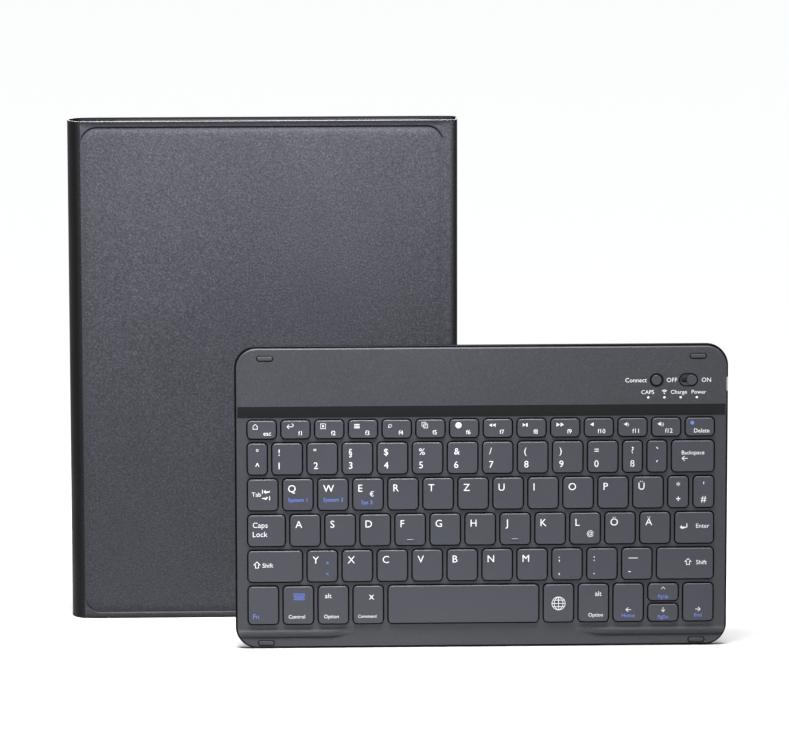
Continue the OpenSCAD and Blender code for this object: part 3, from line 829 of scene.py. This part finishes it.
def add_foot(bm, box):
    """A round rubber foot with a rounded rim and a slightly sunk face."""
    u, v, w, h = centre_size(box)
    rings = [at_depth(stadium(u, v, w, h), box[1])]
    for inset, drop in quarter(0.25, 4):
        rings.append(at_depth(stadium(u, v, w - 2 * inset, h - 2 * inset), box[4] - drop))
    rings.append(at_depth(stadium(u, v, w - 2, h - 2), box[4] - 0.08))
    loft(bm, rings, cap_first=True, cap_last=True)


def add_screw(bm, box):
    """A screw with a flat head and a round driver recess."""
    u, v, w, _ = centre_size(box)
    front_y, back_y = box[1], box[4]
    profile = ((2, front_y), (2, back_y - 0.8), (w, back_y - 0.8), (w, back_y - 0.2),
               (w - 0.4, back_y - 0.05), (1.4, back_y), (0.8, back_y - 0.45))
    loft(bm, [at_depth(stadium(u, v, size, size), y) for size, y in profile], cap_first=True, cap_last=True)


def add_button(bm, box):
    """The round connect button, with a slightly hollow face."""
    domed(bm, centre_size(box), box[1], box[4], 0.35, -0.15)


def add_knob(bm, box):
    """The switch's knob, with a square post behind it."""
    u, v, _, _ = centre_size(box)
    domed(bm, centre_size(box), box[1], box[1] + 0.45, 0.2, -0.1)
    post = rounded(u - 1, v - 1, u + 1, v + 1, 0.2, 2)
    loft(bm, [at_depth(post, depth) for depth in (box[1] + 0.44, box[4])], cap_first=True, cap_last=True)


def add_light(bm, box):
    """A status light's pipe, with a crowned end."""
    domed(bm, centre_size(box), box[1], box[4], 0.3, 0.03)


SMALL_PARTS = (
    ("pads_front", "front_pads", add_pad, "soft_rubber", PAD, "keyboard"),
    ("feet_rear", "rear_feet", add_foot, "soft_rubber", PAD, "keyboard"),
    ("screws_case", "case_screws", add_screw, "screw_steel", SCREW, "keyboard"),
    ("button_connect", "connect_button", add_button, "key_plastic", KEYS, "connect_button"),
    ("knob_power", "power_switch_knob", add_knob, "key_plastic", KEYS, "power_switch_knob"),
    ("lights_status", "status_lights", add_light, "light_pipe", LIGHT, "keyboard"),
)


def make_small_parts():
    """Builds the small parts, and gives the boxes of each node's solids."""
    found = {}
    for name, node, add, slot, material, body in SMALL_PARTS:
        single = node in ("connect_button", "power_switch_knob")
        found[node] = [local(node, KB_CORNER)] if single else solids(node, KB_CORNER)
        bm = bmesh.new()
        for box in found[node]:
            add(bm, box)
        piece(name, bm, IN_KEYBOARD, [material], [node], body)
    return found


def wireless_sign(bm, u, v):
    """The printed fan of a wireless link: a dot under two arcs, over its light."""
    foot = v + 2.0
    loft(bm, [at_depth(stadium(u, foot, 0.6, 0.6), d) for d in (INK, -INK)], cap_first=True, cap_last=True)
    for r in (0.95, 1.7):
        rings = []
        for k in range(9):
            a = math.radians(45 + 90 * k / 8)
            corners = ((r - 0.18, INK), (r + 0.18, INK), (r + 0.18, -INK), (r - 0.18, -INK))
            rings.append([(u + q * math.cos(a), depth, foot + q * math.sin(a)) for q, depth in corners])
        loft(bm, rings, cap_first=True, cap_last=True)


KNOB_TRAVEL = 3.4
LIGHT_HOLE_R = 0.76
FOOT_POCKET = (4.05, 0.4)
SCREW_POCKET = (1.9, 0.9)
# Size, depth, size of the hole in the floor and the floor's material
BUTTON_RECESS = ((6.9, 6.9), 0.5, (5.14, 5.14), IN_RECESS_SHADE)
SWITCH_RECESS = ((9.4, 6.8), 0.6, (7.0, 2.6), 0)


def make_print(button, switch, lights):
    """The words and signs printed round the controls on the raised strip."""
    bm = bmesh.new()

    def label(text, height, x, z, hold):
        write(bm, text, height, x, z, lambda px, pz: 0.0, 0, hold)

    label("Connect", 2.1, button[0] - 4.9, button[1] - 1.0, "right")
    label("OFF", 2.1, switch[0] - 5.6, switch[1] - 1.0, "right")
    label("ON", 2.1, switch[0] + 6.6, switch[1] - 1.0, "left")
    for (u, v), text, shift in zip(lights, ("CAPS", "", "Charge", "Power"), (-0.3, 0, -0.9, 1.0)):
        label(text, 1.9, u + shift, v + 1.8, "middle")
    wireless_sign(bm, *lights[1])
    piece("case_print", bm, IN_KEYBOARD, [WHITE_INK], (), "keyboard")


def make_keyboard():
    """Builds the keyboard's caps, small parts, upper case, lower shell and print."""
    caps = make_keys()
    found = make_small_parts()
    spots = {node: [centre_size(box)[:2] for box in boxes] for node, boxes in found.items()}
    pads = [centre_size(box) for box in found["front_pads"]]
    button, knob = spots["connect_button"][0], spots["power_switch_knob"][0]
    switch = (knob[0] - KNOB_TRAVEL / 2, knob[1])
    deck_pads = [pad for pad in pads if pad[1] < KB_H / 2]
    strip_pads = [pad for pad in pads if pad[1] > KB_H / 2]
    lights = [(*spot, LIGHT_HOLE_R) for spot in spots["status_lights"]]
    recesses = [(button, *BUTTON_RECESS), (switch, *SWITCH_RECESS)]
    top = case_top(caps, deck_pads, strip_pads, lights, recesses)
    piece("case_upper", top, IN_KEYBOARD, [CASE, RECESS_SHADE, STEP_SHADE], ["keyboard_top_case"],
          "keyboard", sharp=CASE_CRISP)
    pockets = [(*spot, *FOOT_POCKET) for spot in spots["rear_feet"]]
    pockets += [(*spot, *SCREW_POCKET) for spot in spots["case_screws"]]
    shell = piece("case_lower", case_bottom(pockets), IN_KEYBOARD, [SHELL],
                  ["keyboard_bottom_case"], "keyboard")
    cut_inlet(shell)
    make_print(button, switch, spots["status_lights"])


def cut_inlet(shell):
    """Opens the lower shell's right wall over the charging inlet."""
    box = local("usb_socket", KB_CORNER)
    bm = bmesh.new()
    outline = rounded(box[1] - 0.1, box[2] - 0.1, box[4] + 0.1, box[5] + 0.1, 0.5, 3)
    rings = [[(x, y, z) for y, z in outline] for x in (box[0] - 0.3, KB_W + 2)]
    loft(bm, rings, cap_first=True, cap_last=True)
    cut_with(shell, bm, IN_KEYBOARD)


def cut_with(obj, bm, place):
    """Takes a closed form out of obj for good."""
    bmesh.ops.recalc_face_normals(bm, faces=bm.faces)
    bm.transform(place)
    cutter = add_object("cutter", mesh_of("cutter", bm))
    cut = obj.modifiers.new("cut", "BOOLEAN")
    cut.operation = "DIFFERENCE"
    cut.solver = "EXACT"
    cut.object = cutter
    obj.modifiers.remove(obj.modifiers["face_normals"])
    bpy.context.view_layer.update()
    shown = obj.evaluated_get(bpy.context.evaluated_depsgraph_get())
    result = bpy.data.meshes.new_from_object(shown)
    obj.modifiers.clear()
    obj.data = result
    bpy.data.objects.remove(cutter)
    weight_normals(obj)


# ---- Folio ----

FOLIO_H = (COVER_HIGH.z - COVER_LOW.z) / MM
FOLIO_T = (BACK_HIGH.y - COVER_LOW.y) / MM
COVER_W = (COVER_HIGH.x - FOLD.x) / MM
BULGE = (FOLD.x - SPINE_LOW.x) / MM
LIP_GAP = 0.6
SKIN = 0.8
ROLL = 4.2
SEAM_X = 0.7
RIM = 0.35
# The line pressed into each cover: its place, corner radius, half width outside, softness inside, depth
LINE_INSET = 3.2
LINE_RIGHT = COVER_W - 7.6
LINE_LEFT = 1.0
LINE_R = 8.1
LINE_HALF = 0.32
LINE_SOFT = 2.0
LINE_DEEP = 0.55
# How far the leather swells inside the line, stands out at its hems and waves
PUFF = 0.12
HEM = 0.5
HEM_REACH = 2.1
WAVE = 0.12
# Spacing of the leather's vertices, close together where its shape changes
FINE, COARSE = 0.22, 6.0
PATH_FINE, PATH_COARSE = 0.3, 5.0
ROUND_STEPS = 10
SPINE_STEPS = 24
SPINE_SOFTEN = 6


def line_distance(x, z):
    """Distance from the pressed line round the panel, negative inside it."""
    cx, cz = (LINE_LEFT + LINE_RIGHT) / 2, FOLIO_H / 2
    dx = abs(x - cx) - ((LINE_RIGHT - LINE_LEFT) / 2 - LINE_R)
    dz = abs(z - cz) - (FOLIO_H / 2 - LINE_INSET - LINE_R)
    return math.hypot(max(dx, 0), max(dz, 0)) + min(max(dx, dz), 0) - LINE_R


def cover_relief(x, z):
    """How far the leather lies below the flat cover at a point."""
    d = line_distance(x, z)
    pressed = LINE_DEEP * math.exp(-(d / (LINE_HALF if d > 0 else LINE_SOFT)) ** 2)
    puff = PUFF * smooth_step(-d / 6)
    ends = smooth_step((x - SEAM_X) / 8) * smooth_step((COVER_W - ROLL - x) / 8)
    hem = HEM * ends * math.exp(-(min(z, FOLIO_H - z) / HEM_REACH) ** 2)
    wave = WAVE * ends * math.sin(x / 31 + 0.6) * math.sin(z / 47 + 1.1)
    return pressed - puff - wave - hem


def stops(low, high, coarse, zones, fine):
    """Sample places from low to high: `fine` apart inside the zones and `coarse` apart elsewhere."""
    places = [low]
    while places[-1] < high - 1e-6:
        here = places[-1]
        inside = any(a - 1e-6 <= here < b - 1e-6 for a, b in zones)
        step = fine if inside else coarse
        ahead = [a for a, _ in zones if here + 1e-6 < a] + [high]
        limit = min(ahead) if not inside else high
        places.append(min(here + step, limit))
    return places


def skin_section(x, y, nx, ny, height, relief):
    """One closed section of a leather skin along z, at a path point with its inward normal."""
    zone = LINE_INSET + LINE_R + 2
    zs = stops(RIM, height - RIM, COARSE, [(RIM, zone), (height - zone, height - RIM)], FINE)
    outer = [(relief(z), z) for z in zs]
    rim_top = [(relief(height) + RIM * (1 - math.cos(a)), height - RIM + RIM * math.sin(a))
               for a in (math.radians(30), math.radians(60), math.radians(90))]
    rim_low = [(d, height - z) for d, z in reversed(rim_top)]
    section = outer + rim_top + [(SKIN, height), (SKIN, 0)] + rim_low
    return [(x + nx * d, y + ny * d, z) for d, z in section]


def cover_path():
    """Path of a cover's outer face from the seam to its rolled edge: x, y, inward normal."""
    zones = [(SEAM_X, 12), (LINE_RIGHT - LINE_R - 2, LINE_RIGHT + 2)]
    path = [(x, 0.0, 0.0, 1.0) for x in stops(SEAM_X, COVER_W - ROLL, PATH_COARSE, zones, PATH_FINE)]
    for k in range(1, ROUND_STEPS + 1):
        a = math.radians(90 * k / ROUND_STEPS)
        across, inwards = math.sin(a), math.cos(a)
        path.append((COVER_W - ROLL + ROLL * across, ROLL - ROLL * inwards, -across, inwards))
    wall_end = FOLIO_T / 2 - LIP_GAP / 2
    for t in (0.4, 0.8, 1.0):
        path.append((COVER_W, mix(ROLL, wall_end, t), -1.0, 0.0))
    return path


def spine_path():
    """Path round the near half of the spine, from the seam to its crown: x, y, inward normal."""
    bow = ((FOLIO_T / 2) ** 2 + BULGE ** 2) / (2 * BULGE)
    cx, cy = bow - BULGE, FOLIO_T / 2
    start = math.atan2(-cy, -cx)
    points = [(SEAM_X - PATH_FINE * k, 0.0) for k in range(int(SEAM_X / PATH_FINE))]
    for k in range(SPINE_STEPS + 1):
        a = start + (-math.pi - start) * k / SPINE_STEPS
        points.append((cx + bow * math.cos(a), cy + bow * math.sin(a)))
    for _ in range(SPINE_SOFTEN):
        middle = [((a[0] + 2 * b[0] + c[0]) / 4, (a[1] + 2 * b[1] + c[1]) / 4)
                  for a, b, c in zip(points, points[1:], points[2:])]
        points = [points[0]] + middle + [points[-1]]
    path = [(*points[0], 0.0, 1.0)]
    for behind, here, ahead in zip(points, points[1:], points[2:]):
        tx, ty = ahead[0] - behind[0], ahead[1] - behind[1]
        size = math.hypot(tx, ty)
        path.append((*here, ty / size, -tx / size))
    return path + [(*points[-1], 1.0, 0.0)]


def painted_edge_shade(x, z, on_cover):
    """Painted shade: how dark the leather is painted round the spine and free edge, along the hems and in the
    pressed line.
    """
    rise = min(z, FOLIO_H - z)
    hem = 0.75 * math.exp(-(rise / 2.0) ** 2)
    crease_shade = 0.9 * math.exp(-(line_distance(x, z) / 0.4) ** 2) * smooth_step((LINE_INSET + LINE_R - rise) / 4)
    side = smooth_step((x - COVER_W + 4.4) / 3.6) if on_cover else 1 - 0.25 * smooth_step((x + 2.6) / 3.3)
    return max(hem, side, crease_shade)


def skin(path, back=False):
    """A leather skin along a path, its top and bottom edge faces in the second material, which carries
    painted light; back mirrors it to the far side.
    """
    bm = bmesh.new()
    sections = []
    for x, y, nx, ny in path:
        def relief(z, x=x, on_face=y < 0.5):
            return cover_relief(x, z) if on_face else 0.0
        sections.append(skin_section(x, y, nx, ny, FOLIO_H, relief))
    # Each vertex stores its painted shade, which the leather material darkens by
    edge_shade = bm.verts.layers.float.new(EDGE_SHADE_LAYER)
    for (x, _, _, _), row in zip(path, loft(bm, sections, cap_first=True, cap_last=True)):
        for vertex in row:
            vertex[edge_shade] = painted_edge_shade(x, vertex.co.z, path is COVER)
    if back:
        for vertex in bm.verts:
            vertex.co.y = FOLIO_T - vertex.co.y
    for face in bm.faces:
        # Faces that look straight up or down take the second material, with its painted light
        face.normal_update()
        if abs(face.normal.z) > 0.9:
            face.material_index = 1
    return bm


COVER = cover_path()
# Place of the camera window, in from the tray's upper corner, and the radius it is cut 1 mm wider than
CAMERA_IN = 15
CAMERA_R = 7.5


def make_folio():
    """Builds the leather: both covers, and the spine in two halves."""
    # The light colour on the front cover's and spine's edge faces is a painted highlight
    leather = [LEATHER, LEATHER_EDGE_HIGHLIGHT]
    piece("leather_front", skin(COVER), IN_FOLIO, leather, ["front_cover_skin"],
          "front_cover")
    # The back cover's top and bottom edge faces take the near-black board colour: painted shade
    back = piece("leather_back", skin(COVER, back=True), IN_FOLIO, [LEATHER, SHADED_BOARD],
                 ["back_cover_skin"], "back_cover")
    cut_camera(back)
    halves = (("leather_spine_near", "front_cover", 0.0), ("leather_spine_far", "back_cover", FOLIO_T))
    for name, body, y in halves:
        half = skin(spine_path(), back=y > 0)
        obj = piece(name, half, IN_FOLIO, leather, ["spine_skin"])
        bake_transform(obj)


def cut_camera(back):
    """The round camera window in the back cover, with a flared outer edge."""
    tray = local("tablet_tray", FOLD)
    x, z = tray[3] - CAMERA_IN, tray[5] - CAMERA_IN
    r = CAMERA_R + 1.0
    bm = bmesh.new()
    profile = ((FOLIO_T - 3, r), (FOLIO_T - 0.35, r), (FOLIO_T, r + 0.35), (FOLIO_T + 1, r + 1.35))
    rings = [at_depth(stadium(x, z, 2 * q, 2 * q, 32), y) for y, q in profile]
    loft(bm, rings, cap_first=True, cap_last=True)
    cut_with(back, bm, IN_FOLIO)


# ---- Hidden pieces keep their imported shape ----

CARRIED = {
    "front_cover_board": SHADED_BOARD, "spine_board": SHADED_BOARD, "back_cover_board": SHADED_BOARD,
    "front_cover_lining": LINING, "back_cover_lining": LINING, "keyboard_magnets": MAGNET,
    "tablet_tray": TRAY, "tray_rim": TRAY, "dome_sheet": DOMES_SHADE, "steel_backplate": METAL, "battery": FOIL,
    "circuit_board": GREEN, "usb_socket": SOCKET, "slide_switch_body": SWITCH, "tact_switch": SWITCH,
}
SOFT_EDGE = {"tablet_tray": 0.3, "tray_rim": 0.25, "battery": 0.4, "usb_socket": 0.06,
             "slide_switch_body": 0.15, "tact_switch": 0.15, "keyboard_magnets": 0.15}


def carry_over():
    """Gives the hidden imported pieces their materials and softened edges."""
    for name, material in CARRIED.items():
        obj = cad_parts[name]
        obj.data.materials.clear()
        obj.data.materials.append(material)
        if name not in SOFT_EDGE:
            continue
        weld = obj.modifiers.new("join_seams", "WELD")
        weld.merge_threshold = 0.00001
        edge = obj.modifiers.new("soft_edge", "BEVEL")
        edge.width = SOFT_EDGE[name] * MM
        edge.segments = 2
        edge.limit_method = "ANGLE"
        edge.angle_limit = math.radians(40)
        weight_normals(obj)


# ---- Stage, light and camera ----

def make_stage():
    """A plain pale floor, 30 m across."""
    floor_material = bpy.data.materials.new("floor")
    floor_material.use_nodes = True
    shader = floor_material.node_tree.nodes["Principled BSDF"]
    shader.inputs["Base Color"].default_value = (0.5, 0.5, 0.5, 1)
    shader.inputs["Roughness"].default_value = 0.45
    shader.inputs["Specular IOR Level"].default_value = 0.3
    bm = bmesh.new()
    bmesh.ops.create_grid(bm, x_segments=4, y_segments=4, size=15)
    mesh = mesh_of("floor", bm)
    mesh.materials.append(floor_material)
    add_object("floor", mesh)


NEAR_PLACE = FOLD + Vector((0.1, -0.2, 0.55))
NEAR_TARGET = FOLD + Vector((0.1, 0, 0.25))
NEAR_SIZE = (0.3, 0.12)
NEAR_WATTS = 1.9
NEAR_SPREAD = 75
FAR_STRENGTH = 6.5
FAR_ANGLE = 35
FAR_TILT = 7


def make_light():
    """A small softbox over the near side and a wide one far above, in a dim pale studio."""
    world = bpy.data.worlds.new("studio")
    world.use_nodes = True
    background = world.node_tree.nodes["Background"]
    background.inputs["Color"].default_value = (0.93, 0.96, 1, 1)
    background.inputs["Strength"].default_value = 0.25
    scene = bpy.context.scene
    scene.world = world
    scene.view_settings.view_transform = "Standard"
    lamp = bpy.data.lights.new("softbox_near", "AREA")
    lamp.shape = "RECTANGLE"
    lamp.size, lamp.size_y = NEAR_SIZE
    lamp.energy = NEAR_WATTS
    lamp.spread = math.radians(NEAR_SPREAD)
    near = add_object("softbox_near", lamp)
    near.location = NEAR_PLACE
    near.rotation_euler = (NEAR_TARGET - NEAR_PLACE).to_track_quat("-Z", "Y").to_euler()
    lamp = bpy.data.lights.new("softbox_far", "SUN")
    lamp.energy = FAR_STRENGTH
    lamp.angle = math.radians(FAR_ANGLE)
    far = add_object("softbox_far", lamp)
    far.rotation_euler = (math.radians(FAR_TILT), 0, 0)


CAMERA_OFFSET = Vector((0.077, -2.526, 0.518))
PITCH_DOWN = 8.73
YAW_RIGHT = 1.893
ROLL_ANGLE = 0.11
LENS = 228.55
SENSOR = 36


def make_camera():
    """The product view: from far away, a little above and a little from the left."""
    data = bpy.data.cameras.new("view")
    data.lens = LENS
    data.sensor_width = SENSOR
    data.clip_end = 60
    obj = add_object("view", data)
    obj.location = FOLD + CAMERA_OFFSET
    obj.rotation_euler = [math.radians(a) for a in (90 - PITCH_DOWN, ROLL_ANGLE, -YAW_RIGHT)]
    bpy.context.scene.camera = obj


make_camera()
make_stage()
make_light()
make_keyboard()
make_folio()
carry_over()
pen.put_away()
